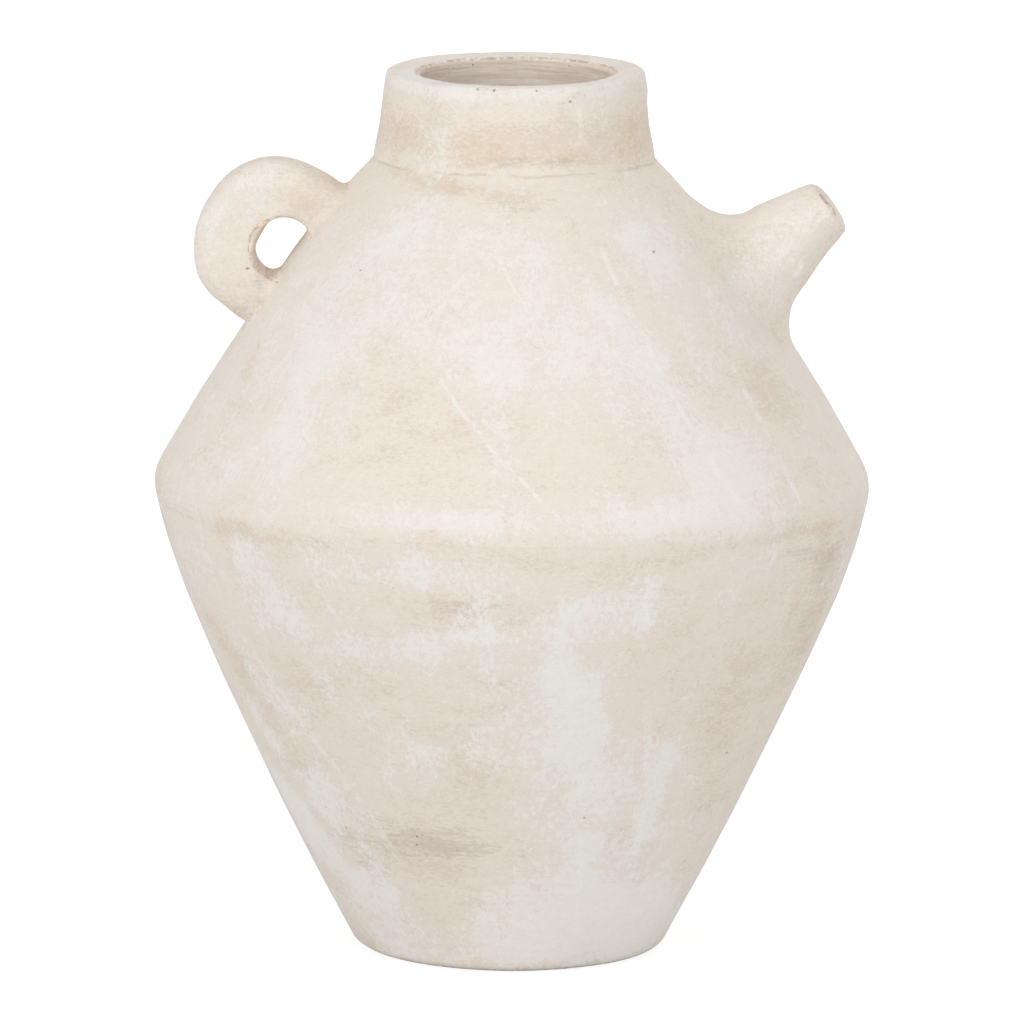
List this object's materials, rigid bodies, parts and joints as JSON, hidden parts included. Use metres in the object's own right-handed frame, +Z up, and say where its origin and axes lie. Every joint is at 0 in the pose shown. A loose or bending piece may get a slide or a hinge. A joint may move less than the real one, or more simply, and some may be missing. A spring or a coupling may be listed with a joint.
{
  "type": "spouted ceramic jar",
  "caption": "Two-cone limewashed terracotta jar with a thick collar neck, a flat loop handle for one finger and a short tapering pouring spout.",
  "frame": {"origin": "centre of the flat foot, on the surface that the jar stands on", "axes": "+Z up along the turning axis, +X towards the spout, the loop handle on the -X side"},
  "size_m": [0.2472, 0.2472, 0.305],
  "materials": {
    "limewashed_terracotta": "matt, brushed thinly with lime wash, ochre and grey-brown where it has worn",
    "bare_terracotta": "matt fired clay with no wash"
  },
  "bodies": {
    "root": {"floor_slab": "limewashed_terracotta", "lower_wall": "limewashed_terracotta", "floor_seam_coil": "bare_terracotta", "shoulder_wall": "limewashed_terracotta", "belly_seam_coil": "bare_terracotta", "neck_collar": "limewashed_terracotta", "handle": "limewashed_terracotta", "spout": "limewashed_terracotta"}
  },
  "joints": []
}
